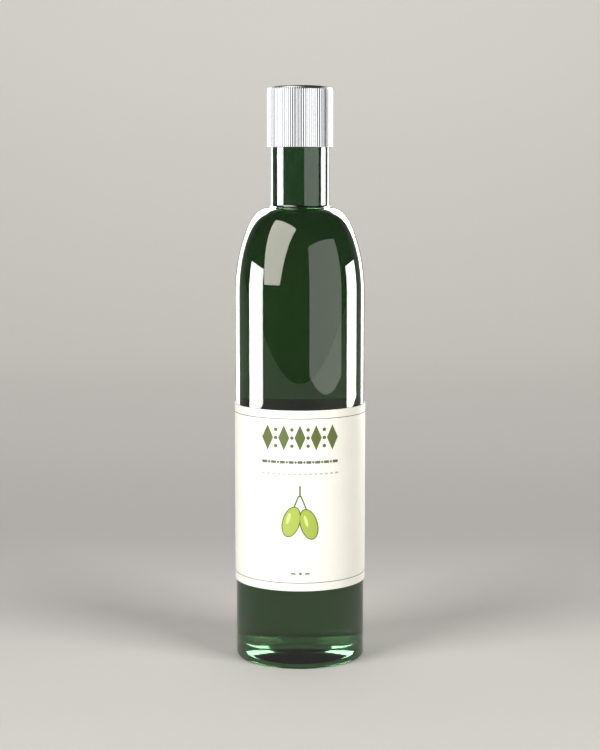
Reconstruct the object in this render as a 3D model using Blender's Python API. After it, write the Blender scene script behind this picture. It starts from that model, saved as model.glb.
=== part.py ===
"""A 500 ml olive oil bottle: dark glass, a ribbed aluminium cap, a wrap-round paper label and the oil inside.

Metres, +Z up. The bottle stands on Z = 0 and its axis is the Z axis, so the origin is the middle of the foot.
Every piece is turned about that axis. The middle of the label's front faces -Y.
"""

import math

import bmesh
import bpy
from mathutils import Matrix, Vector

# Driving dimensions of the glass
BODY_RADIUS = 0.0315
NECK_RADIUS = 0.0142
SHOULDER_START = 0.1790
SHOULDER_HEIGHT = 0.0418
LIP_HEIGHT = 0.2765
WALL = 0.0035
NECK_WALL = 0.0032
BASE_THICKNESS = 0.0070
HEEL_RADIUS = 0.0012
FOOT_INNER_RADIUS = 0.0180
PUNT_HEIGHT = 0.0050
FLOOR_RISE = 0.0030         # how far the inside of the floor rises in its middle
NECK_FILLET = 0.0012
LIP_ROUNDING = 0.0010
INNER_HEEL_RADIUS = 0.0030

# Driving dimensions of the label, the cap and the oil
LABEL_RADIUS = 0.0320
LABEL_THICKNESS = 0.0002
LABEL_BOTTOM = 0.0385
LABEL_TOP = 0.1256
CAP_RADIUS = 0.01593
CAP_BOTTOM = 0.2494
CAP_TOP = 0.2787
CAP_ROUNDING = 0.0022
CAP_TOP_THICKNESS = 0.0016
RIB_COUNT = 90
RIB_DEPTH = 0.00030
OIL_LEVEL = 0.2520

# Room left between two pieces that touch on the real bottle
GAP = 0.0003

# How finely round shapes are cut
GLASS_SIDES = 48
SHOULDER_STEPS = 10
HEEL_STEPS = 3
PUNT_STEPS = 4
INNER_HEEL_STEPS = 4
FILLET_STEPS = 3
CAP_ROUNDING_STEPS = 3

# Shortest edge that stays, well under the finest detail
MERGE_DISTANCE = 0.000002
SMOOTH_BELOW = 40.0         # degrees between two faces that still shade as one surface
RIBS_SMOOTH_BELOW = 50.0

# Colours as the eye sees them, each red, green and blue from 0 to 1, and how matt each surface is.
GLASS_COLOUR = (0.020, 0.055, 0.018)
GLASS_ROUGHNESS = 0.02
OIL_COLOUR = (0.45, 0.42, 0.05)
OIL_ROUGHNESS = 0.05
PAPER_COLOUR = (0.92, 0.91, 0.86)
PAPER_ROUGHNESS = 0.55
ALUMINIUM_COLOUR = (0.83, 0.84, 0.85)
ALUMINIUM_ROUGHNESS = 0.18


def clear_scene():
    for item in list(bpy.data.objects):
        bpy.data.objects.remove(item, do_unlink=True)


def make_material(name, colour, roughness, metallic=0.0, transmission=0.0):
    material = bpy.data.materials.new(name)
    material.use_nodes = True
    shader = material.node_tree.nodes["Principled BSDF"]
    shader.inputs["Base Color"].default_value = (*colour, 1.0)
    shader.inputs["Roughness"].default_value = roughness
    shader.inputs["Metallic"].default_value = metallic
    shader.inputs["Transmission Weight"].default_value = transmission
    return material


def ellipse_arc(centre, semi_axes, start_degrees, end_degrees, steps):
    """Points (radius, height) along part of an ellipse, both ends included."""
    points = []
    for step in range(steps + 1):
        angle = math.radians(start_degrees + (end_degrees - start_degrees) * step / steps)
        points.append((centre[0] + semi_axes[0] * math.cos(angle),
                       centre[1] + semi_axes[1] * math.sin(angle)))
    return points


def round_arc(centre, radius, start_degrees, end_degrees, steps):
    return ellipse_arc(centre, (radius, radius), start_degrees, end_degrees, steps)


def dome(rim_radius, rim_height, rise, steps):
    """Points of a shallow dome from its rim to its crown on the axis: a circle through both."""
    ball = (rim_radius ** 2 + rise ** 2) / (2.0 * rise)
    opening = math.degrees(math.asin(rim_radius / ball))
    centre = (0.0, rim_height + rise - ball)
    return round_arc(centre, ball, 90.0 - opening, 90.0, steps)


def link_mesh(name, work, material, sharp_degrees):
    """Turns a bmesh into a named object with outward faces, shaded smooth except at its sharp edges."""
    bmesh.ops.remove_doubles(work, verts=work.verts, dist=MERGE_DISTANCE)
    bmesh.ops.recalc_face_normals(work, faces=work.faces)
    mesh = bpy.data.meshes.new(name)
    work.to_mesh(mesh)
    work.free()
    mesh.shade_smooth()
    mesh.set_sharp_from_angle(angle=math.radians(sharp_degrees))
    mesh.materials.append(material)
    item = bpy.data.objects.new(name, mesh)
    bpy.context.scene.collection.objects.link(item)
    return item


def turn_profile(profile, sides, closed):
    """Spins a profile of (radius, height) points once round the Z axis. A closed profile joins its ends."""
    work = bmesh.new()
    corners = [work.verts.new((radius, 0.0, height)) for radius, height in profile]
    edges = [work.edges.new(pair) for pair in zip(corners, corners[1:])]
    if closed:
        edges.append(work.edges.new((corners[-1], corners[0])))
    bmesh.ops.spin(work, geom=corners + edges, cent=(0.0, 0.0, 0.0), axis=(0.0, 0.0, 1.0),
                   angle=math.tau, steps=sides, use_merge=True)
    return work


def outer_glass_profile():
    """The outside of the bottle, from the top of its neck down to the middle of the foot."""
    fillet_centre_radius = NECK_RADIUS + NECK_FILLET
    reach = NECK_FILLET / (BODY_RADIUS - NECK_RADIUS)
    shoulder_angle = math.degrees(math.acos(reach))
    shoulder = ellipse_arc((NECK_RADIUS, SHOULDER_START), (BODY_RADIUS - NECK_RADIUS, SHOULDER_HEIGHT),
                           shoulder_angle, 0.0, SHOULDER_STEPS)
    fillet_centre_height = shoulder[0][1] + NECK_FILLET
    lip = round_arc((NECK_RADIUS - LIP_ROUNDING, LIP_HEIGHT - LIP_ROUNDING), LIP_ROUNDING,
                    90.0, 0.0, FILLET_STEPS)
    fillet = round_arc((fillet_centre_radius, fillet_centre_height), NECK_FILLET, 180.0, 270.0, FILLET_STEPS)
    heel = round_arc((BODY_RADIUS - HEEL_RADIUS, HEEL_RADIUS), HEEL_RADIUS, 0.0, -90.0, HEEL_STEPS)
    punt = dome(FOOT_INNER_RADIUS, 0.0, PUNT_HEIGHT, PUNT_STEPS)
    return lip + fillet[:-1] + shoulder + heel + punt


def inner_profile(clearance):
    """The inside of the glass, from the middle of its floor up to the neck, moved in by clearance."""
    body = BODY_RADIUS - WALL - clearance
    neck = NECK_RADIUS - NECK_WALL - clearance
    corner = INNER_HEEL_RADIUS - clearance
    floor_edge = BASE_THICKNESS + clearance
    floor = dome(body - corner, floor_edge, FLOOR_RISE, PUNT_STEPS)
    floor.reverse()
    bottom = round_arc((body - corner, floor_edge + corner), corner, -90.0, 0.0, INNER_HEEL_STEPS)
    shoulder = ellipse_arc((neck, SHOULDER_START), (body - neck, SHOULDER_HEIGHT - WALL - clearance),
                           0.0, 90.0, SHOULDER_STEPS)
    return floor + bottom[1:] + shoulder[:-1] + [(neck, shoulder[-1][1])]


def make_glass(material):
    """The bottle itself: one wall of glass from the punted foot to the lip, open at the mouth."""
    bore = NECK_RADIUS - NECK_WALL
    mouth = round_arc((bore + LIP_ROUNDING, LIP_HEIGHT - LIP_ROUNDING), LIP_ROUNDING, 180.0, 90.0, FILLET_STEPS)
    profile = inner_profile(0.0) + mouth + outer_glass_profile()
    work = turn_profile(profile, GLASS_SIDES, closed=False)
    return link_mesh("glass_bottle", work, material, SMOOTH_BELOW)


def make_oil(material):
    """The oil, which fills the glass up to its level in the neck, hidden behind the cap."""
    neck = NECK_RADIUS - NECK_WALL - GAP
    profile = inner_profile(GAP) + [(neck, OIL_LEVEL), (0.0, OIL_LEVEL)]
    work = turn_profile(profile, GLASS_SIDES, closed=False)
    return link_mesh("olive_oil", work, material, SMOOTH_BELOW)


def make_label(material):
    """The paper label, a band that goes right round the straight part of the body."""
    inner = LABEL_RADIUS - LABEL_THICKNESS
    profile = [(LABEL_RADIUS, LABEL_TOP), (LABEL_RADIUS, LABEL_BOTTOM), (inner, LABEL_BOTTOM), (inner, LABEL_TOP)]
    work = turn_profile(profile, GLASS_SIDES, closed=True)
    return link_mesh("label", work, material, SMOOTH_BELOW)


def rib_ring(work, crest_radius, root_radius, height):
    """One ring of points of the ribbed skirt: a crest and a root for each rib."""
    ring = []
    for step in range(2 * RIB_COUNT):
        angle = math.tau * step / (2 * RIB_COUNT)
        radius = crest_radius if step % 2 == 0 else root_radius
        ring.append(work.verts.new((radius * math.cos(angle), radius * math.sin(angle), height)))
    return ring


def ring_edges(work, ring):
    return [work.edges.new((ring[i], ring[(i + 1) % len(ring)])) for i in range(len(ring))]


def make_cap(material):
    """The screw cap: a drawn aluminium shell with fine upright ribs and a rounded top edge."""
    work = bmesh.new()
    inner = NECK_RADIUS + GAP
    ceiling = CAP_TOP - CAP_TOP_THICKNESS
    rounding = round_arc((CAP_RADIUS - CAP_ROUNDING, CAP_TOP - CAP_ROUNDING), CAP_ROUNDING,
                         0.0, 90.0, CAP_ROUNDING_STEPS)
    levels = [(CAP_RADIUS, CAP_BOTTOM)] + rounding
    rings = []
    for number, (radius, height) in enumerate(levels):
        fade = 1.0 if number <= 1 else 1.0 - (number - 1) / CAP_ROUNDING_STEPS
        rings.append(ring_edges(work, rib_ring(work, radius, radius - RIB_DEPTH * fade, height)))
    for lower, upper in zip(rings, rings[1:]):
        bmesh.ops.bridge_loops(work, edges=lower + upper)
    bmesh.ops.contextual_create(work, geom=rings[-1])
    bore_low = bmesh.ops.create_circle(work, segments=2 * RIB_COUNT, radius=inner,
                                       matrix=Matrix.Translation(Vector((0.0, 0.0, CAP_BOTTOM))))["verts"]
    bore_high = bmesh.ops.create_circle(work, segments=2 * RIB_COUNT, radius=inner,
                                        matrix=Matrix.Translation(Vector((0.0, 0.0, ceiling))))["verts"]
    low_edges = list({edge for vert in bore_low for edge in vert.link_edges})
    high_edges = list({edge for vert in bore_high for edge in vert.link_edges})
    bmesh.ops.bridge_loops(work, edges=rings[0] + low_edges)
    bmesh.ops.bridge_loops(work, edges=low_edges + high_edges)
    bmesh.ops.contextual_create(work, geom=high_edges)
    return link_mesh("cap", work, material, RIBS_SMOOTH_BELOW)


def main():
    clear_scene()
    make_glass(make_material("dark_green_glass", GLASS_COLOUR, GLASS_ROUGHNESS, transmission=1.0))
    make_oil(make_material("olive_oil", OIL_COLOUR, OIL_ROUGHNESS, transmission=1.0))
    make_label(make_material("label_paper", PAPER_COLOUR, PAPER_ROUGHNESS))
    make_cap(make_material("cap_aluminium", ALUMINIUM_COLOUR, ALUMINIUM_ROUGHNESS, metallic=1.0))


main()
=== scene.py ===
# %% [markdown]
# A bottle of olive oil, a lesson in cells
#
# We dress a slim 500 ml bottle: dark green glass, a ribbed aluminium cap, a paper label and the oil inside.
# The solid model is already there as a frame, at its real size. We keep its sizes and give it the fine
# surfaces, the print and the materials that a camera sees.

# %% Open the frame
import math

import bpy
from mathutils import Matrix, Vector


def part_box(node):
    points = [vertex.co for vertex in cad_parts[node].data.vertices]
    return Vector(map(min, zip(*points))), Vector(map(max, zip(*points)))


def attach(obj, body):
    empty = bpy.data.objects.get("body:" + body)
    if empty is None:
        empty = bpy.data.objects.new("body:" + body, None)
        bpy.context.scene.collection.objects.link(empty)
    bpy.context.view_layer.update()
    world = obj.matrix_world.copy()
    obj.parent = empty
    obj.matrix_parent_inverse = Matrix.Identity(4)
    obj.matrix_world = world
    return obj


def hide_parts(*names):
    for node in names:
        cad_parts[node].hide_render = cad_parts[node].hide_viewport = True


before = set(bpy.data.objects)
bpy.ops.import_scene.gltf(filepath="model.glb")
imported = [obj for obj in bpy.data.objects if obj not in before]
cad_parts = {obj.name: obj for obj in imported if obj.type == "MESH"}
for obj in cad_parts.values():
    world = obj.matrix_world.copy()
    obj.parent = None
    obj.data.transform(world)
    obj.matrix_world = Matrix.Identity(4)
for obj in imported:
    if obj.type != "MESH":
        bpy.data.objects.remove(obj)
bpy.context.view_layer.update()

# %% [markdown]
# Real sizes first. One millimetre is a named unit, so that each size reads like a maker's drawing. The sizes
# that the frame holds are read from it, and only those that it can't tell, such as a wall, are written here.

# %% Sizes
MM = 0.001
glass_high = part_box("glass_bottle")[1]
label_low, label_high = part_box("label")
cap_low, cap_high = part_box("cap")
oil_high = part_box("olive_oil")[1]

BODY_RADIUS = glass_high.x
LIP_HEIGHT = glass_high.z
NECK_RADIUS = 14.2 * MM
SHOULDER_START = 179.0 * MM
SHOULDER_HEIGHT = 41.8 * MM
WALL = 3.5 * MM
NECK_WALL = 3.2 * MM
BASE_THICKNESS = 7.0 * MM
FLOOR_RISE = 3.0 * MM
PUNT_HEIGHT = 5.0 * MM
FOOT_INNER_RADIUS = 18.0 * MM
HEEL_RADIUS = 1.2 * MM
INNER_HEEL_RADIUS = 3.0 * MM
NECK_FILLET = 1.2 * MM
LIP_ROUNDING = 1.0 * MM
LABEL_RADIUS = label_high.x
CAP_RADIUS = cap_high.x
for part, radius in (("body", BODY_RADIUS), ("label", LABEL_RADIUS), ("cap", CAP_RADIUS)):
    print(part, "radius", round(radius / MM, 2), "mm")

# %% [markdown]
# Before modelling, everything is deselected: an operator acts on all that is selected, and the frame's own
# nodes start out selected. A few small helpers keep the cells short. Two pick the piece to work on, one
# closes a piece with its normals outward, and three write arcs, domes and support points as lists.

# %% Helpers for modelling
SHARP_ABOVE = 35.0


def deselect_all():
    for item in bpy.context.selected_objects:
        item.select_set(False)


def make_active(piece):
    deselect_all()
    piece.select_set(True)
    bpy.context.view_layer.objects.active = piece


def tidy_mesh(piece, merge=0.002 * MM):
    """Merges doubled points, turns all faces outward and shades the piece smooth except at sharp edges."""
    make_active(piece)
    bpy.ops.object.mode_set(mode="EDIT")
    bpy.ops.mesh.select_all(action="SELECT")
    bpy.ops.mesh.remove_doubles(threshold=merge)
    bpy.ops.mesh.normals_make_consistent(inside=False)
    bpy.ops.object.mode_set(mode="OBJECT")
    bpy.ops.object.shade_smooth_by_angle(angle=math.radians(SHARP_ABOVE))


def arc(centre, semi_axes, start, end, steps):
    """Points (radius, height) along an ellipse from one angle to another, in degrees."""
    angles = [math.radians(start + (end - start) * i / steps) for i in range(steps + 1)]
    return [(centre[0] + semi_axes[0] * math.cos(a), centre[1] + semi_axes[1] * math.sin(a)) for a in angles]


def dome(rim_radius, rim_height, rise, steps):
    """A shallow dome from its rim up to the axis, part of one circle."""
    ball = (rim_radius ** 2 + rise ** 2) / (2.0 * rise)
    opening = math.degrees(math.asin(rim_radius / ball))
    return arc((0.0, rim_height + rise - ball), (ball, ball), 90.0 - opening, 90.0, steps)


def hold(outline, distance=0.3 * MM):
    """Adds a point close to each end of every long straight stretch, so that its shading stays straight."""
    held = [outline[0]]
    for start, end in zip(outline, outline[1:]):
        length = math.dist(start, end)
        if length > 8.0 * distance:
            share = distance / length
            for part in (share, 1.0 - share):
                held.append((start[0] + (end[0] - start[0]) * part, start[1] + (end[1] - start[1]) * part))
        held.append(end)
    return held


# %% [markdown]
# A bottle, its oil, its label and its cap are all round, so one way of working makes them all: draw half of
# the section with a chain of extruded points, then spin that chain once round the axis. A plain cylinder
# with bevels could start the bottle too, but its shoulder is part of an ellipse and follows a chain better.

# %% Turning an outline
def turn(name, outline, sides):
    """Draws an outline of (radius, height) by extruding one point, then spins it round the Z axis."""
    deselect_all()
    bpy.ops.mesh.primitive_plane_add(size=1.0 * MM, location=(0.0, 0.0, 0.0))
    piece = bpy.context.object
    piece.name = name
    bpy.ops.object.mode_set(mode="EDIT")
    bpy.ops.mesh.select_mode(type="VERT")
    bpy.ops.mesh.select_all(action="SELECT")
    bpy.ops.mesh.merge(type="CENTER")
    bpy.ops.transform.translate(value=(outline[0][0], 0.0, outline[0][1]))
    for (r0, z0), (r1, z1) in zip(outline, outline[1:]):
        bpy.ops.mesh.extrude_region_move(TRANSFORM_OT_translate={"value": (r1 - r0, 0.0, z1 - z0)})
    bpy.ops.mesh.select_all(action="SELECT")
    bpy.ops.mesh.spin(steps=sides, angle=math.tau, center=(0.0, 0.0, 0.0), axis=(0.0, 0.0, 1.0))
    bpy.ops.object.mode_set(mode="OBJECT")
    tidy_mesh(piece)
    print(name, len(piece.data.vertices), "points,", len(piece.data.polygons), "faces")
    return piece


# %% [markdown]
# The bottle is one wall of glass. The outline goes from the middle of the inner floor up the inside, over the
# lip, down the outside and under the foot to the middle of the punt, the dome that pushes the base up. The
# thick glass round the punt is what makes a real bottle glint there in two bright crescents.

# %% The glass
GLASS_SIDES = 192
DOME_STEPS = 16
CORNER_STEPS = 12
ROUNDING_STEPS = 8
INNER_SHOULDER_STEPS = 40
OUTER_SHOULDER_STEPS = 48


def inner_outline(clearance):
    """The inside of the glass, moved in by clearance, from the floor up to the start of the neck."""
    body = BODY_RADIUS - WALL - clearance
    neck = NECK_RADIUS - NECK_WALL - clearance
    corner = INNER_HEEL_RADIUS - clearance
    floor_height = BASE_THICKNESS + clearance
    floor = dome(body - corner, floor_height, FLOOR_RISE, DOME_STEPS)[::-1]
    bottom = arc((body - corner, floor_height + corner), (corner, corner), -90.0, 0.0, CORNER_STEPS)
    shoulder_size = (body - neck, SHOULDER_HEIGHT - WALL - clearance)
    shoulder = arc((neck, SHOULDER_START), shoulder_size, 0.0, 90.0, INNER_SHOULDER_STEPS)
    return floor + bottom[1:] + shoulder


bore = NECK_RADIUS - NECK_WALL
lip_size = (LIP_ROUNDING, LIP_ROUNDING)
lip_centre_height = LIP_HEIGHT - LIP_ROUNDING
mouth = arc((bore + LIP_ROUNDING, lip_centre_height), lip_size, 180.0, 90.0, ROUNDING_STEPS)
lip = arc((NECK_RADIUS - LIP_ROUNDING, lip_centre_height), lip_size, 90.0, 0.0, ROUNDING_STEPS)
shoulder_reach = BODY_RADIUS - NECK_RADIUS
meeting_angle = math.degrees(math.acos(NECK_FILLET / shoulder_reach))
outer_size = (shoulder_reach, SHOULDER_HEIGHT)
outer_shoulder = arc((NECK_RADIUS, SHOULDER_START), outer_size, meeting_angle, 0.0, OUTER_SHOULDER_STEPS)
fillet_centre = (NECK_RADIUS + NECK_FILLET, outer_shoulder[0][1] + NECK_FILLET)
neck_fillet = arc(fillet_centre, (NECK_FILLET, NECK_FILLET), 180.0, 270.0, ROUNDING_STEPS)
heel_centre = (BODY_RADIUS - HEEL_RADIUS, HEEL_RADIUS)
heel = arc(heel_centre, (HEEL_RADIUS, HEEL_RADIUS), 0.0, -90.0, ROUNDING_STEPS)
punt = dome(FOOT_INNER_RADIUS, 0.0, PUNT_HEIGHT, DOME_STEPS)
glass_outline = inner_outline(0.0) + mouth + lip + neck_fillet[:-1] + outer_shoulder + heel + punt
bottle = turn("bottle_glass", hold(glass_outline), GLASS_SIDES)

# %% [markdown]
# The oil fills the glass up into the neck. It reaches a tenth of a millimetre into the wall: a film of air
# between the two would act as a mirror, and the bottle would look silvered instead of full.

# %% The oil
OIL_REACH = 0.1 * MM
OIL_LEVEL = oil_high.z
oil_neck = NECK_RADIUS - NECK_WALL + OIL_REACH
oil_outline = inner_outline(-OIL_REACH) + [(oil_neck, OIL_LEVEL), (0.0, OIL_LEVEL)]
oil = turn("oil_fill", hold(oil_outline), GLASS_SIDES)

# %% [markdown]
# The label is a band of paper glued round the straight part of the body. A cylinder with a thickness could
# make it. We turn its section, so that it gets the same sides as the glass and lies evenly on it.

# %% The label
GLUE_THICKNESS = 0.04 * MM
LABEL_INNER_RADIUS = BODY_RADIUS + GLUE_THICKNESS
paper_outline = [
    (LABEL_INNER_RADIUS, label_low.z),
    (LABEL_RADIUS, label_low.z),
    (LABEL_RADIUS, label_high.z),
    (LABEL_INNER_RADIUS, label_high.z),
    (LABEL_INNER_RADIUS, label_low.z),
]
paper = turn("paper_label", paper_outline, GLASS_SIDES)

# %% [markdown]
# The ends of the label overlap at the back. The second layer is cut out of a turned film: a Boolean keeps the
# part of the film that lies inside a narrow box behind the bottle.

# %% The overlap of the label
def film(name, low, high, inside, outside):
    """A thin turned band between two heights. Its radii are given as distances from the face of the label."""
    inner = LABEL_RADIUS + inside
    outer = LABEL_RADIUS + outside
    return turn(name, [(inner, low), (outer, low), (outer, high), (inner, high), (inner, low)], GLASS_SIDES)


def keep_inside(piece, cutter):
    """Keeps the part of a piece that lies inside the cutter, then takes the cutter away."""
    make_active(piece)
    boolean = piece.modifiers.new("cut", "BOOLEAN")
    boolean.operation = "INTERSECT"
    boolean.solver = "EXACT"
    boolean.object = cutter
    bpy.ops.object.modifier_apply(modifier=boolean.name)
    bpy.data.objects.remove(cutter, do_unlink=True)
    tidy_mesh(piece, 0.0005 * MM)
    print(piece.name, len(piece.data.polygons), "faces after the cut")


OVERLAP_WIDTH = 6.0 * MM
OVERLAP_THICKNESS = 0.08 * MM
FILM_ROOT = -0.02 * MM
BOX_DEPTH = 20.0 * MM
BOX_HEIGHT = 200.0 * MM
overlap = film("label_overlap", label_low.z, label_high.z, FILM_ROOT, OVERLAP_THICKNESS)
deselect_all()
label_middle = (label_low.z + label_high.z) / 2.0
bpy.ops.mesh.primitive_cube_add(size=1.0, location=(0.0, LABEL_RADIUS, label_middle))
box = bpy.context.object
box.scale = (OVERLAP_WIDTH, BOX_DEPTH, BOX_HEIGHT)
bpy.ops.object.transform_apply(location=False, rotation=False, scale=True)
keep_inside(overlap, box)

# %% [markdown]
# Print is ink, a film a few hundredths of a millimetre thick, one pass for each colour. An image could show
# it, but shapes stay sharp at any size. They are drawn flat in front of the bottle, joined and given depth,
# and a Boolean keeps what lies inside a thin shell just over the paper. So every shape follows the curve of
# the label. The design is our own: a frieze, rows of bars, two olives on a twig, a small sign and two rules.

# %% Drawing with ink
DRAWING_DISTANCE = 38.0 * MM
DRAWING_DEPTH = 16.0 * MM


def shape(sides, width, height, x, z, angle=0.0):
    """One flat shape in front of the bottle, in millimetres and degrees. Four sides give a lozenge."""
    bpy.ops.mesh.primitive_circle_add(vertices=sides, radius=1.0, fill_type="NGON")
    drawn = bpy.context.object
    drawn.scale = (width * MM / 2.0, height * MM / 2.0, 1.0)
    drawn.rotation_euler = (math.radians(90.0), math.radians(angle), 0.0)
    drawn.location = (x * MM, -DRAWING_DISTANCE, z * MM)
    return drawn


def bar(width, height, x, z, angle=0.0):
    """One flat rectangle in front of the bottle, in millimetres and degrees."""
    bpy.ops.mesh.primitive_plane_add(size=1.0)
    drawn = bpy.context.object
    drawn.scale = (width * MM, height * MM, 1.0)
    drawn.rotation_euler = (math.radians(90.0), math.radians(angle), 0.0)
    drawn.location = (x * MM, -DRAWING_DISTANCE, z * MM)
    return drawn


def print_ink(name, shapes, thickness):
    """Joins flat shapes, gives them depth and keeps the film of ink that they leave on the label."""
    deselect_all()
    for drawn in shapes:
        drawn.select_set(True)
    bpy.context.view_layer.objects.active = shapes[0]
    bpy.ops.object.join()
    ink = bpy.context.object
    ink.name = name
    bpy.ops.object.transform_apply(location=True, rotation=True, scale=True)
    bpy.ops.object.mode_set(mode="EDIT")
    bpy.ops.mesh.select_all(action="SELECT")
    bpy.ops.mesh.extrude_region_move(TRANSFORM_OT_translate={"value": (0.0, DRAWING_DEPTH, 0.0)})
    bpy.ops.mesh.select_all(action="SELECT")
    bpy.ops.mesh.normals_make_consistent(inside=False)
    bpy.ops.object.mode_set(mode="OBJECT")
    keep_inside(ink, film("film", label_low.z, label_high.z, FILM_ROOT, thickness))
    return ink


# %% [markdown]
# The frieze runs across the top of the label. Lozenges are circles of four sides, and the beads between them
# are circles too, so one helper draws both. Like colours are printed in one pass.

# %% The frieze, in dark olive green
INK = 0.02 * MM
FRIEZE_Z = 112.6
FRIEZE_STEP = 7.7
LOZENGE_SIZE = (5.2, 12.2)
BEAD_SIZE = (1.7, 1.7)
BEAD_STEP = 3.9
lozenges = [shape(4, *LOZENGE_SIZE, column * FRIEZE_STEP, FRIEZE_Z) for column in range(-2, 3)]
beads = []
for column in (-1.5, -0.5, 0.5, 1.5):
    for row in (-1, 0, 1):
        beads.append(shape(24, *BEAD_SIZE, column * FRIEZE_STEP, FRIEZE_Z + row * BEAD_STEP))
frieze = print_ink("ink_frieze", lozenges + beads, INK)

# %% [markdown]
# Two borders of bars run below the frieze, the second in a paler ink, and a small sign stands at the foot of
# the label. Each bar is a plane, scaled to its size.

# %% The two borders and the sign at the foot
BORDER_Z = 100.9
BAR_STEP = 4.2
BAR_SIZE = (2.4, 1.3)
DOT_SIZE = (1.2, 1.2)
PALE_BORDER_Z = 95.2
PALE_BAR_STEP = 2.5
PALE_BAR_SIZE = (1.5, 0.8)
SIGN_Z = 47.0
SIGN_BAR = (2.2, 0.7)
SIGN_DOT = (1.3, 1.3)
bars = [bar(*BAR_SIZE, column * BAR_STEP, BORDER_Z) for column in range(-4, 5)]
bars += [shape(20, *DOT_SIZE, (column + 0.5) * BAR_STEP, BORDER_Z) for column in range(-4, 4)]
bars += [bar(*SIGN_BAR, -3.2, SIGN_Z), shape(20, *SIGN_DOT, 0.2, SIGN_Z), bar(*SIGN_BAR, 3.6, SIGN_Z)]
border = print_ink("ink_border", bars, INK)
pale_bars = [bar(*PALE_BAR_SIZE, column * PALE_BAR_STEP, PALE_BORDER_Z) for column in range(-7, 8)]
pale_border = print_ink("ink_pale_border", pale_bars, INK)

# %% [markdown]
# The rules run right round the label, so they are turned like the label itself and need no Boolean.

# %% The two rules
RULE_HEIGHT = 0.32 * MM
RULE_TOP_Z = 121.5 * MM
RULE_LOW_Z = 42.3 * MM
rule_top = film("ink_rule_top", RULE_TOP_Z, RULE_TOP_Z + RULE_HEIGHT, FILM_ROOT, INK)
rule_low = film("ink_rule_low", RULE_LOW_Z, RULE_LOW_Z + RULE_HEIGHT, FILM_ROOT, INK)

# %% [markdown]
# Olives hang in pairs on a thin twig. Each is printed in three passes, one over the other: a dark ellipse
# that stays visible as an outline, the flesh a little smaller, and a light spot that makes it look round.

# %% The olives: outline and twig first, then the flesh, then a light spot
OLIVE_TILT = 16.0
olive_places = ((-4.2, 72.2, OLIVE_TILT), (4.2, 71.0, -OLIVE_TILT))
twig = [shape(64, 8.6, 15.4, x, z, tilt) for x, z, tilt in olive_places]
outline_ink = print_ink("ink_olive_outline", twig[:1], INK)
second_outline = print_ink("ink_olive_outline_two", twig[1:], INK)
TWIG_INK = 0.015 * MM
FLESH_INK = 0.035 * MM
SPOT_INK = 0.05 * MM
twig_bars = [bar(0.7, 6.0, -1.75, 82.0, 22.0), bar(0.7, 7.2, 1.75, 81.4, -22.0), bar(0.8, 5.4, 0.0, 86.9)]
twig_ink = []
for number, stem in enumerate(twig_bars):
    twig_ink.append(print_ink("ink_twig_" + str(number), [stem], TWIG_INK))
flesh_left = print_ink("ink_olive_left", [shape(64, 7.6, 14.4, *olive_places[0])], FLESH_INK)
flesh_right = print_ink("ink_olive_right", [shape(64, 7.6, 14.4, *olive_places[1])], FLESH_INK)
spots = [shape(32, 1.6, 5.6, x - 1.3, z + 1.6, tilt) for x, z, tilt in olive_places]
spot_ink = print_ink("ink_olive_spots", spots, SPOT_INK)

# %% [markdown]
# The cap is a drawn aluminium shell. Its skirt has fine upright ribs, pressed in so that a hand can grip it.
# The shell is turned with eight points to a rib, and the points between two crests are then drawn in towards
# the axis with a resize that leaves their height alone. The ribs fade out round the top edge.

# %% The cap
RIB_COUNT = 90
POINTS_PER_RIB = 8
RIB_DEPTH = 0.10 * MM
RIB_SHAPE = (0.0, 0.0, 0.0, 0.0, 0.25, 1.0, 1.0, 0.25)
RIBS_END = 0.3
CAP_ROUNDING = 2.2 * MM
CAP_EDGE = 0.25 * MM
THREAD_ROOM = 0.3 * MM
CAP_TOP_THICKNESS = 1.6 * MM
CAP_SIDES = RIB_COUNT * POINTS_PER_RIB
cap_bore = NECK_RADIUS + THREAD_ROOM
cap_ceiling = cap_high.z - CAP_TOP_THICKNESS
top_centre = (CAP_RADIUS - CAP_ROUNDING, cap_high.z - CAP_ROUNDING)
cap_top_edge = arc(top_centre, (CAP_ROUNDING, CAP_ROUNDING), 0.0, 90.0, 10)
edge_centre = (CAP_RADIUS - CAP_EDGE, cap_low.z + CAP_EDGE)
cap_bottom_edge = arc(edge_centre, (CAP_EDGE, CAP_EDGE), -90.0, 0.0, 3)
cap_outline = [(0.0, cap_ceiling), (cap_bore, cap_ceiling), (cap_bore, cap_low.z)] + cap_bottom_edge
cap_outline += cap_top_edge + [(0.0, cap_high.z)]
cap = turn("cap_shell", hold(cap_outline), CAP_SIDES)


def press_ribs(piece):
    """Draws the skirt's points in towards the axis, most halfway between two crests."""
    make_active(piece)
    for phase, share in enumerate(RIB_SHAPE):
        depth = RIB_DEPTH * share
        for vert in piece.data.vertices:
            radius = math.hypot(vert.co.x, vert.co.y)
            turn_share = math.atan2(vert.co.y, vert.co.x) / math.tau * CAP_SIDES
            on_phase = round(turn_share) % POINTS_PER_RIB == phase
            on_skirt = radius > CAP_RADIUS - CAP_EDGE and vert.co.z < cap_high.z - CAP_ROUNDING * RIBS_END
            vert.select = on_phase and on_skirt
        for edge in piece.data.edges:
            edge.select = False
        for face in piece.data.polygons:
            face.select = False
        bpy.ops.object.mode_set(mode="EDIT")
        bpy.ops.mesh.select_mode(type="VERT")
        factor = 1.0 - depth / CAP_RADIUS
        bpy.ops.transform.resize(value=(factor, factor, 1.0), center_override=(0.0, 0.0, 0.0))
        bpy.ops.object.mode_set(mode="OBJECT")
    print(piece.name, "has", RIB_COUNT, "ribs", round(RIB_DEPTH / MM, 2), "mm deep")


press_ribs(cap)

# %% [markdown]
# Materials. Colours are picked as sRGB hex values, the way a paint chart gives them, and one function turns
# them to the linear values that a shader wants. One more function adds a node with its settings and links.

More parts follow.
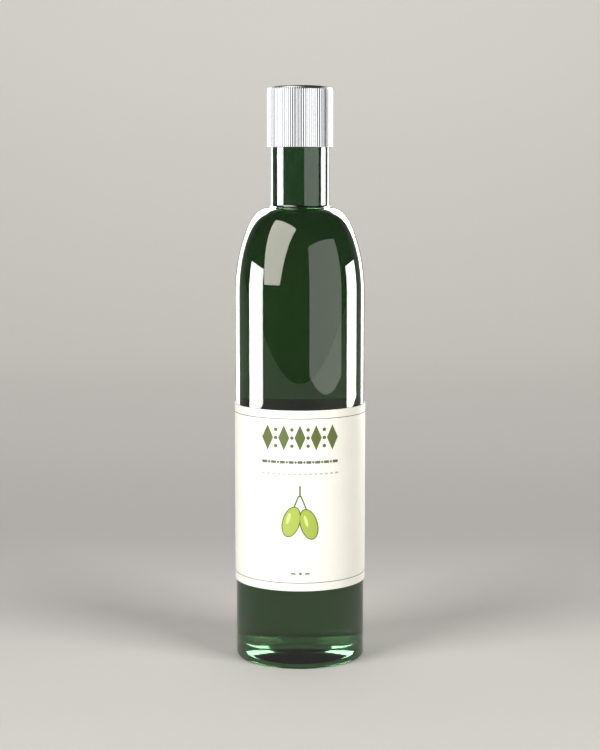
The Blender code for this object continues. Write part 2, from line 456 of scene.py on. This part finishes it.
# %% Colour and node helpers
def linear(hex_colour):
    channels = [int(hex_colour[i:i + 2], 16) / 255.0 for i in (1, 3, 5)]
    return tuple(c / 12.92 if c <= 0.04045 else ((c + 0.055) / 1.055) ** 2.4 for c in channels) + (1.0,)


def add_node(tree, kind, settings=None, inputs=None, links=None):
    """Adds one node: settings are its attributes, inputs its socket values, links what feeds its sockets."""
    node = tree.nodes.new(kind)
    for key, value in (settings or {}).items():
        setattr(node, key, value)
    for key, value in (inputs or {}).items():
        node.inputs[key].default_value = value
    for key, source in (links or {}).items():
        tree.links.new(source, node.inputs[key])
    return node


def new_material(name):
    material = bpy.data.materials.new(name)
    material.use_nodes = True
    material.node_tree.nodes.clear()
    return material, material.node_tree


# %% [markdown]
# Bottle glass is soda-lime glass, coloured green in the melt by iron and chromium. A volume absorption could
# give the colour, but the thick foot would then go black. We let each outer face take half of the colour
# instead: light that goes in through one wall and out through the other is tinted twice, and the foot stays
# as bright as the body. Inside, the glass is wetted by oil. Light bends there only by the difference between
# glass and oil, so the index of those faces is that of glass divided by that of oil, and they hardly mirror.
# Very faint waves in the surface come from the mould.

# %% Soda-lime bottle glass
GLASS_IOR = 1.52
OIL_IOR = 1.47
GLASS_TINT = "#315338"
WAVES_PER_METRE = 60.0          # one wave each 17 mm
STREAKS_PER_METRE = 35.0        # one streak each 29 mm


def glass_shader(name, tint, index):
    """Glass with faint waves from the mould and a trace of streaks. Tint colours what passes a face."""
    material, tree = new_material(name)
    place = add_node(tree, "ShaderNodeTexCoord").outputs["Object"]
    waves = add_node(tree, "ShaderNodeTexNoise", inputs={"Scale": WAVES_PER_METRE, "Detail": 1.0},
                     links={"Vector": place})
    bump = add_node(tree, "ShaderNodeBump", inputs={"Strength": 0.004, "Distance": 0.0002},
                    links={"Height": waves.outputs["Fac"]})
    streaks = add_node(tree, "ShaderNodeTexNoise", inputs={"Scale": STREAKS_PER_METRE, "Detail": 3.0},
                       links={"Vector": place})
    tone = add_node(tree, "ShaderNodeMapRange", inputs={"To Min": 0.97, "To Max": 1.03},
                    links={"Value": streaks.outputs["Fac"]})
    colour = add_node(tree, "ShaderNodeHueSaturation", inputs={"Color": linear(tint)},
                      links={"Value": tone.outputs["Result"]})
    shader = add_node(tree, "ShaderNodeBsdfPrincipled",
                      inputs={"Roughness": 0.0, "IOR": index, "Transmission Weight": 1.0},
                      links={"Base Color": colour.outputs["Color"], "Normal": bump.outputs["Normal"]})
    add_node(tree, "ShaderNodeOutputMaterial", links={"Surface": shader.outputs["BSDF"]})
    print(name, "index", round(index, 3))
    return material


glass_material = glass_shader("soda_lime_glass_dark_green", GLASS_TINT, GLASS_IOR)
wetted_glass = glass_shader("soda_lime_glass_wetted_by_oil", "#FFFFFF", GLASS_IOR / OIL_IOR)

# %% Outer and inner faces of the glass
INSIDE_FLOOR = 10.0 * MM
FLOOR_ZONE = 15.0 * MM
FACES_UP = 0.5


def dress_glass(piece):
    """The outer faces carry the colour of the glass. The inner faces are clear."""
    piece.data.materials.clear()
    piece.data.materials.append(glass_material)
    piece.data.materials.append(wetted_glass)
    for face in piece.data.polygons:
        towards_axis = face.normal.x * face.center.x + face.normal.y * face.center.y < 0.0
        under_foot = face.center.z < INSIDE_FLOOR and face.normal.z < 0.0
        inner_floor = face.center.z < FLOOR_ZONE and face.normal.z > FACES_UP
        face.material_index = 1 if (towards_axis and not under_foot) or inner_floor else 0
    inner_count = sum(face.material_index for face in piece.data.polygons)
    print("inner faces", inner_count, "outer faces", len(piece.data.polygons) - inner_count)


dress_glass(bottle)

# %% [markdown]
# The oil is clear and golden green. Its colour is an absorption in the volume, so it is deeper where more oil
# lies in the line of sight. Its skin lies inside the glass, where the wetted faces already bend the light, so
# it gets an index of one and lets light pass straight. A faint cloudiness takes up to two per cent of it.

# %% Olive oil
CLOUDS_PER_METRE = 45.0         # one cloud each 22 mm
OIL_DENSITY = 12.0
oil_material, tree = new_material("olive_oil_clear")
place = add_node(tree, "ShaderNodeTexCoord").outputs["Object"]
cloud = add_node(tree, "ShaderNodeTexNoise", inputs={"Scale": CLOUDS_PER_METRE, "Detail": 3.0},
                 links={"Vector": place})
haze = add_node(tree, "ShaderNodeMapRange", inputs={"To Min": 0.975, "To Max": 1.0},
                links={"Value": cloud.outputs["Fac"]})
shader = add_node(tree, "ShaderNodeBsdfPrincipled",
                  inputs={"Roughness": 0.0, "IOR": 1.0, "Transmission Weight": 1.0},
                  links={"Base Color": haze.outputs["Result"]})
volume = add_node(tree, "ShaderNodeVolumeAbsorption",
                  inputs={"Color": linear("#E6E04A"), "Density": OIL_DENSITY})
add_node(tree, "ShaderNodeOutputMaterial",
         links={"Surface": shader.outputs["BSDF"], "Volume": volume.outputs["Volume"]})
oil.data.materials.clear()
oil.data.materials.append(oil_material)
print(oil_material.name, "in a glass of index", GLASS_IOR)

# %% [markdown]
# Label paper has a matt coating. Under it the fibres cloud the white a little and lift the surface by a few
# hundredths of a millimetre, and the coating is glossier where it lies thick. Paper lets some light through,
# so a quarter of a translucent shader is mixed in: the back of the label then glows inside the bottle.

# %% Label paper
FIBRES_PER_METRE = 1400.0       # one fibre each 0.7 mm, coarser than real so that it shows
COAT_CLOUDS_PER_METRE = 90.0    # one cloud each 11 mm
PAPER_SHOW_THROUGH = 0.25
paper_material, tree = new_material("coated_label_paper")
place = add_node(tree, "ShaderNodeTexCoord").outputs["Object"]
fibres = add_node(tree, "ShaderNodeTexNoise",
                  inputs={"Scale": FIBRES_PER_METRE, "Detail": 4.0, "Distortion": 0.6},
                  links={"Vector": place})
clouds = add_node(tree, "ShaderNodeTexNoise", inputs={"Scale": COAT_CLOUDS_PER_METRE, "Detail": 3.0},
                  links={"Vector": place})
both = add_node(tree, "ShaderNodeMath", settings={"operation": "ADD"},
                links={0: fibres.outputs["Fac"], 1: clouds.outputs["Fac"]})
tone = add_node(tree, "ShaderNodeMapRange",
                inputs={"From Min": 0.6, "From Max": 1.4, "To Min": 0.97, "To Max": 1.03},
                links={"Value": both.outputs["Value"]})
colour = add_node(tree, "ShaderNodeHueSaturation", inputs={"Color": linear("#F4F2EA")},
                  links={"Value": tone.outputs["Result"]})
gloss = add_node(tree, "ShaderNodeMapRange", inputs={"To Min": 0.42, "To Max": 0.58},
                 links={"Value": clouds.outputs["Fac"]})
bump = add_node(tree, "ShaderNodeBump", inputs={"Strength": 0.12, "Distance": 0.00003},
                links={"Height": fibres.outputs["Fac"]})
shader = add_node(tree, "ShaderNodeBsdfPrincipled",
                  links={"Base Color": colour.outputs["Color"], "Roughness": gloss.outputs["Result"],
                         "Normal": bump.outputs["Normal"]})
glow = add_node(tree, "ShaderNodeBsdfTranslucent", links={"Color": colour.outputs["Color"]})
mixed = add_node(tree, "ShaderNodeMixShader", inputs={"Fac": PAPER_SHOW_THROUGH},
                 links={1: shader.outputs["BSDF"], 2: glow.outputs["BSDF"]})
add_node(tree, "ShaderNodeOutputMaterial", links={"Surface": mixed.outputs["Shader"]})
for piece in (paper, overlap):
    piece.data.materials.clear()
    piece.data.materials.append(paper_material)
print(paper_material.name, "on", paper.name, "and", overlap.name)

# %% [markdown]
# Printing ink lies a little uneven on paper. A fine mottle changes its tone by a few per cent, and its gloss
# with it.

# %% Printing inks
MOTTLES_PER_METRE = 2500.0      # one mottle each 0.4 mm, about the grain of coated paper


def ink_material(name, hex_colour):
    """Ink of one colour, with a mottle in its tone and its gloss."""
    material, tree = new_material(name)
    place = add_node(tree, "ShaderNodeTexCoord").outputs["Object"]
    mottle = add_node(tree, "ShaderNodeTexNoise", inputs={"Scale": MOTTLES_PER_METRE, "Detail": 3.0},
                      links={"Vector": place})
    value = add_node(tree, "ShaderNodeMapRange", inputs={"To Min": 0.92, "To Max": 1.08},
                     links={"Value": mottle.outputs["Fac"]})
    gloss = add_node(tree, "ShaderNodeMapRange", inputs={"To Min": 0.50, "To Max": 0.62},
                     links={"Value": mottle.outputs["Fac"]})
    tone = add_node(tree, "ShaderNodeHueSaturation", inputs={"Color": linear(hex_colour)},
                    links={"Value": value.outputs["Result"]})
    shader = add_node(tree, "ShaderNodeBsdfPrincipled",
                      links={"Base Color": tone.outputs["Color"], "Roughness": gloss.outputs["Result"]})
    add_node(tree, "ShaderNodeOutputMaterial", links={"Surface": shader.outputs["BSDF"]})
    return material


dark_olive_ink = ink_material("ink_dark_olive", "#4E5B20")
grey_green_ink = ink_material("ink_grey_green", "#4D5640")
pale_ink = ink_material("ink_pale_grey_green", "#B0B4A0")
rule_ink = ink_material("ink_rule_grey", "#66665B")
leaf_green_ink = ink_material("ink_outline_green", "#4A611E")
light_green_ink = ink_material("ink_olive_green_light", "#98A841")
green_ink = ink_material("ink_olive_green", "#95A540")
spot_green_ink = ink_material("ink_spot_green", "#BDCC74")
inked = [(frieze, dark_olive_ink), (border, grey_green_ink), (pale_border, pale_ink), (rule_top, rule_ink)]
inked += [(rule_low, rule_ink), (outline_ink, leaf_green_ink), (second_outline, leaf_green_ink)]
inked += [(stem, leaf_green_ink) for stem in twig_ink]
inked += [(flesh_left, light_green_ink), (flesh_right, green_ink), (spot_ink, spot_green_ink)]
for piece, material in inked:
    piece.data.materials.clear()
    piece.data.materials.append(material)
print(len(inked), "printed pieces")

# %% [markdown]
# The cap is bright rolled aluminium under a clear lacquer. Rolling leaves fine scratches, which change its
# roughness and its slope a little from place to place. A metal keeps the default index and takes its colour
# from the base colour alone.

# %% Cap aluminium
SCRATCHES_PER_METRE = 260.0     # one group of scratches each 4 mm round the cap
SCRATCH_STRETCH = 0.08          # along the axis they run about twelve times as far
cap_material, tree = new_material("bright_rolled_aluminium")
place = add_node(tree, "ShaderNodeTexCoord").outputs["Object"]
stretched = add_node(tree, "ShaderNodeMapping", inputs={"Scale": (1.0, 1.0, SCRATCH_STRETCH)},
                     links={"Vector": place})
scratches = add_node(tree, "ShaderNodeTexNoise", inputs={"Scale": SCRATCHES_PER_METRE, "Detail": 5.0},
                     links={"Vector": stretched.outputs["Vector"]})
roughness = add_node(tree, "ShaderNodeMapRange", inputs={"To Min": 0.05, "To Max": 0.10},
                     links={"Value": scratches.outputs["Fac"]})
bump = add_node(tree, "ShaderNodeBump", inputs={"Strength": 0.04, "Distance": 0.00002},
                links={"Height": scratches.outputs["Fac"]})
tone = add_node(tree, "ShaderNodeMapRange", inputs={"To Min": 0.97, "To Max": 1.03},
                links={"Value": scratches.outputs["Fac"]})
colour = add_node(tree, "ShaderNodeHueSaturation", inputs={"Color": linear("#EBECEE")},
                  links={"Value": tone.outputs["Result"]})
shader = add_node(tree, "ShaderNodeBsdfPrincipled", inputs={"Metallic": 1.0},
                  links={"Base Color": colour.outputs["Color"], "Roughness": roughness.outputs["Result"],
                         "Normal": bump.outputs["Normal"]})
add_node(tree, "ShaderNodeOutputMaterial", links={"Surface": shader.outputs["BSDF"]})
cap.data.materials.clear()
cap.data.materials.append(cap_material)
print(cap_material.name, "on", cap.name)

# %% [markdown]
# Each piece rides on the one rigid body of the frame and takes the place of its plain solid.

# %% Fastening the pieces to the frame
for piece, node, slot in ((bottle, "glass_bottle", "dark_green_glass"), (oil, "olive_oil", "olive_oil"),
                          (paper, "label", "label_paper"), (cap, "cap", "cap_aluminium")):
    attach(piece, "root")
    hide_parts(node)
for piece in [overlap] + [printed for printed, material in inked]:
    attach(piece, "root")
print(5 + len(inked), "pieces on the body root")

# %% [markdown]
# A product is shot on a sheet of pale paper that hangs from a wall and sweeps out over a table. We make the
# part near the camera as a disc, cut straight at its back, and the rest as a plane that is extruded up into a
# wall and bevelled into a wide bend. The disc's round front edge shapes the dark arc that the body mirrors.

# %% The floor
FLOOR_RADIUS = 3.0
FLOOR_FRONT = -1.15
FLOOR_SIDES = 256
SWEEP_START = 0.6
deselect_all()
floor_middle = (0.0, FLOOR_FRONT + FLOOR_RADIUS, 0.0)
bpy.ops.mesh.primitive_circle_add(vertices=FLOOR_SIDES, radius=FLOOR_RADIUS, fill_type="NGON",
                                  location=floor_middle)
floor = bpy.context.object
floor.name = "studio_floor"
bpy.ops.object.transform_apply(location=True, rotation=False, scale=False)
bpy.ops.object.mode_set(mode="EDIT")
bpy.ops.mesh.select_all(action="SELECT")
bpy.ops.mesh.bisect(plane_co=(0.0, SWEEP_START, 0.0), plane_no=(0.0, 1.0, 0.0), clear_outer=True)
bpy.ops.object.mode_set(mode="OBJECT")
print("floor from", FLOOR_FRONT, "m to", SWEEP_START, "m")

# %% The sweep and the wall
SWEEP_WIDTH = 8.0
SWEEP_BACK = 2.2
SWEEP_BEND = 1.1
BEND_SEGMENTS = 32
WALL_HEIGHT = 4.0
NEAR = 0.01
bpy.ops.mesh.primitive_plane_add(size=1.0, location=(0.0, (SWEEP_START + SWEEP_BACK) / 2.0, 0.0))
sweep = bpy.context.object
sweep.name = "studio_sweep"
sweep.scale = (SWEEP_WIDTH, SWEEP_BACK - SWEEP_START, 1.0)
bpy.ops.object.transform_apply(location=True, rotation=False, scale=True)


def select_edges(piece, wanted):
    """Selects the edges whose two ends both pass the test."""
    bpy.ops.object.mode_set(mode="EDIT")
    bpy.ops.mesh.select_mode(type="EDGE")
    bpy.ops.mesh.select_all(action="DESELECT")
    bpy.ops.object.mode_set(mode="OBJECT")
    for edge in piece.data.edges:
        edge.select = all(wanted(piece.data.vertices[i].co) for i in edge.vertices)
    bpy.ops.object.mode_set(mode="EDIT")


select_edges(sweep, lambda co: co.y > SWEEP_BACK - NEAR)
bpy.ops.mesh.extrude_region_move(TRANSFORM_OT_translate={"value": (0.0, 0.0, WALL_HEIGHT)})
select_edges(sweep, lambda co: co.y > SWEEP_BACK - NEAR and co.z < NEAR)
bpy.ops.mesh.bevel(offset=SWEEP_BEND, segments=BEND_SEGMENTS, profile=0.5)
bpy.ops.object.mode_set(mode="OBJECT")
bpy.ops.object.shade_smooth()
print("sweep", len(sweep.data.polygons), "faces")

# %% [markdown]
# The backdrop paper's colour carries painted shade: pale at the front, darkest on the floor some 0.3 m behind
# the bottle and pale again up the wall, standing in for the way the light falls off across the set. The
# painted shade follows the way along the paper, which is Y on the floor and Z on the wall, so their sum runs
# on evenly through the bend. The tint is a warm grey.

# %% Backdrop paper with painted shade
GRADIENT_START = -0.2
GRADIENT_END = 2.8
# Painted shade: the darker stops stand in for the light falling off on the floor behind the bottle.
PAINTED_SHADE_RAMP = ((0.02, 0.57), (0.067, 0.526), (0.101, 0.494), (0.143, 0.414), (0.175, 0.39), (0.275, 0.498),
        (0.383, 0.558), (0.505, 0.628), (0.767, 0.742), (0.917, 0.805))
PAPER_TINT = (1.03, 1.0, 0.945)
floor_material, tree = new_material("backdrop_paper_with_painted_shade")
place = add_node(tree, "ShaderNodeTexCoord").outputs["Object"]
parts = add_node(tree, "ShaderNodeSeparateXYZ", links={"Vector": place})
along = add_node(tree, "ShaderNodeMath", links={0: parts.outputs["Y"], 1: parts.outputs["Z"]})
share = add_node(tree, "ShaderNodeMapRange", inputs={"From Min": GRADIENT_START, "From Max": GRADIENT_END},
                 links={"Value": along.outputs["Value"]})
painted_shade_ramp = add_node(tree, "ShaderNodeValToRGB", links={"Fac": share.outputs["Result"]})
painted_shade_ramp.color_ramp.interpolation = "B_SPLINE"
for number, (position, value) in enumerate(PAINTED_SHADE_RAMP):
    stops = painted_shade_ramp.color_ramp.elements
    stop = stops[number] if number < 2 else stops.new(position)
    stop.position = position
    stop.color = tuple(value * part for part in PAPER_TINT) + (1.0,)
shader = add_node(tree, "ShaderNodeBsdfPrincipled", inputs={"Roughness": 0.9},
                  links={"Base Color": painted_shade_ramp.outputs["Color"]})
add_node(tree, "ShaderNodeOutputMaterial", links={"Surface": shader.outputs["BSDF"]})
for part in (floor, sweep):
    part.data.materials.clear()
    part.data.materials.append(floor_material)
print(floor_material.name, "with", len(PAINTED_SHADE_RAMP), "stops")

# %% [markdown]
# Glass, paper and metal each want their own light. A photographer would shoot them one after the other and
# join the pictures. Here each lamp lights one group of pieces only, which is set with a receiver collection.

# %% Light groups and softboxes
def lit_group(name, pieces):
    """A collection of the pieces that one set of lamps lights."""
    group = bpy.data.collections.new(name)
    for piece in pieces:
        group.objects.link(piece)
    return group


def softbox(name, centre, across, along, radiance, colour, receivers):
    """A flat lamp with its two edges in metres. It shines along the cross product of across and along."""
    lamp = bpy.data.lights.new(name, "AREA")
    lamp.shape = "RECTANGLE"
    lamp.size = Vector(across).length
    lamp.size_y = Vector(along).length
    lamp.color = colour
    lamp.energy = radiance * math.pi * lamp.size * lamp.size_y
    item = bpy.data.objects.new(name, lamp)
    bpy.context.scene.collection.objects.link(item)
    x_axis = Vector(across).normalized()
    z_axis = Vector(along).cross(x_axis).normalized()
    turned = Matrix((x_axis, z_axis.cross(x_axis), z_axis)).transposed()
    item.matrix_world = Matrix.Translation(centre) @ turned.to_4x4()
    item.visible_camera = False
    item.light_linking.receiver_collection = receivers


def set_up(rows, receivers):
    """Makes one lamp for each row: name, middle, one edge, the other edge, radiance and colour."""
    for row in rows:
        softbox(*row, receivers)
    print(len(rows), "lamps for", receivers.name)


lit_glass = lit_group("lit_glass", [bottle, oil])
lit_cap = lit_group("lit_cap", [cap])
lit_label = lit_group("lit_label", [paper, overlap] + [printed for printed, material in inked])
lit_set = lit_group("lit_set", [floor, sweep])
WHITE = (1.0, 1.0, 1.0)
CREAM = (1.0, 0.97, 0.86)
PALE_CREAM = (1.0, 0.985, 0.93)

# %% [markdown]
# Glass shows its lamps as shapes. Two upright strips draw the long bright lines, a large cream panel high on
# the left draws the pale patch on the shoulder, and a dim one on the right draws the grey patch. Two rim
# lamps behind edge the outline. They are hidden from light that has passed the glass, or they would show as
# green bands. Two panels high behind are seen only by total reflection in the foot, as bright crescents.

# %% Lamps for the glass
GLASS_LAMPS = (
    ("strip_left", (-0.90, -0.10, 0.176), (0.0, 0.52, 0.0), (0.0, 0.0, 0.352), 20.0, WHITE),
    ("strip_right", (0.90, 0.24, 0.165), (0.0, -0.47, 0.0), (0.0, 0.0, 0.33), 18.0, WHITE),
    ("rim_left", (-0.43, 0.62, 0.425), (0.22, 0.155, 0.0), (0.0, 0.0, 0.85), 8.0, WHITE),
    ("rim_right", (0.43, 0.62, 0.425), (0.16, -0.112, 0.0), (0.0, 0.0, 0.85), 8.0, WHITE),
    ("key_high_left", (-3.08, -2.67, 1.95), (-1.93, 2.70, -0.08), (2.73, 3.10, 2.98), 10.0, CREAM),
    ("fill_right", (0.77, -0.72, 0.43), (-0.847, -0.906, 0.0), (0.0, 0.0, 0.86), 2.3, (1.0, 1.0, 0.98)),
    ("base_left", (-0.592, 1.330, 0.85), (0.663, 0.295, 0.0), (0.0, 0.0, 0.9), 32.0, WHITE),
    ("base_right", (0.592, 1.330, 0.85), (0.663, -0.295, 0.0), (0.0, 0.0, 0.9), 32.0, WHITE),
)
set_up(GLASS_LAMPS, lit_glass)
for name in ("rim_left", "rim_right"):
    bpy.data.objects[name].visible_transmission = False

# %% [markdown]
# The label is white on the left, falls off to a warm grey on the right and is edged by a lamp behind it. One
# more lamp behind shines through the paper.

# %% Lamps for the label
LABEL_LAMPS = (
    ("label_key", (-0.55, -0.82, 0.35), (-0.82, 0.55, 0.0), (0.0, 0.0, 0.9), 7.5, WHITE),
    ("label_side", (0.90, -0.50, 0.35), (-0.48, -0.87, 0.0), (0.0, 0.0, 0.9), 3.2, PALE_CREAM),
    ("label_rim", (0.62, 0.75, 0.30), (0.3, -0.25, 0.0), (0.0, 0.0, 0.6), 12.5, WHITE),
    ("label_back", (0.0, 1.4, 0.35), (0.5, 0.0, 0.0), (0.0, 0.0, 0.6), 14.0, WHITE),
)
set_up(LABEL_LAMPS, lit_label)

# %% [markdown]
# Bright metal is only as light as what it mirrors, so panels stand all round the cap with dark gaps between
# them, and the gaps draw the dark lines between the ribs.

# %% Lamps for the cap
CAP_LAMPS = (
    ("cap_left", (-0.80, -0.42, 0.35), (-0.28, 0.53, 0.0), (0.0, 0.0, 0.7), 1.6, WHITE),
    ("cap_right", (0.60, -0.70, 0.35), (-0.42, -0.36, 0.0), (0.0, 0.0, 0.7), 2.1, WHITE),
    ("cap_rim_left", (-0.62, 0.52, 0.35), (0.34, 0.41, 0.0), (0.0, 0.0, 0.7), 1.8, WHITE),
    ("cap_rim_right", (0.62, 0.52, 0.35), (0.34, -0.41, 0.0), (0.0, 0.0, 0.7), 2.1, WHITE),
    ("cap_top", (-0.77, -0.60, 0.80), (-0.482, 0.674, -0.02), (1.02, 1.16, 1.12), 1.1, WHITE),
    ("cap_front", (-0.12, -0.95, 0.29), (-0.36, 0.0, 0.0), (0.0, 0.0, 0.4), 0.8, WHITE),
)
set_up(CAP_LAMPS, lit_cap)

# %% [markdown]
# Two large lamps in front, high to the left and right, light the floor and leave a soft shadow on each side
# behind the bottle. A third lights the wall.

# %% Lamps for the set
SET_LAMPS = (
    ("set_top", (0.0, -0.3, 2.0), (2.0, 0.0, 0.0), (0.0, -1.4, 0.0), 0.15, WHITE),
    ("set_left", (-1.0, -0.8, 1.6), (-0.47, 0.59, 0.0), (0.46, 0.37, 0.47), 12.9, WHITE),
    ("set_right", (1.0, -0.8, 1.6), (-0.47, -0.59, 0.0), (-0.46, 0.37, 0.47), 12.9, WHITE),
    ("set_wall", (0.0, 0.9, 2.6), (3.0, 0.0, 0.0), (0.0, -0.40, -0.58), 4.2, WHITE),
)
set_up(SET_LAMPS, lit_set)

# %% [markdown]
# The air of the studio is nearly dark, so that only the lamps shape the picture.

# %% Studio air
AIR = 0.05
world = bpy.data.worlds.new("studio_air")
bpy.context.scene.world = world
world.use_nodes = True
world.node_tree.nodes["Background"].inputs["Color"].default_value = (AIR, AIR, AIR, 1.0)
print("air", AIR)

# %% [markdown]
# The camera stands a little higher than the shoulder and looks down a few degrees, so that the foot shows as
# a curve and the top of the cap as a thin line.

# %% The camera
CAMERA_DISTANCE = 0.831
CAMERA_HEIGHT = 0.2372
CAMERA_PITCH = 6.746
CAMERA_LENS = 81.98
CAMERA_SENSOR = 36.0
camera_data = bpy.data.cameras.new("camera")
camera_data.lens = CAMERA_LENS
camera_data.sensor_width = CAMERA_SENSOR
camera = bpy.data.objects.new("camera", camera_data)
camera.location = (0.0, -CAMERA_DISTANCE, CAMERA_HEIGHT)
camera.rotation_euler = (math.radians(90.0 - CAMERA_PITCH), 0.0, 0.0)
bpy.context.scene.collection.objects.link(camera)
bpy.context.scene.camera = camera
bpy.context.scene.view_settings.view_transform = "Standard"
print("camera", CAMERA_DISTANCE, "m away, looking down", CAMERA_PITCH, "degrees")
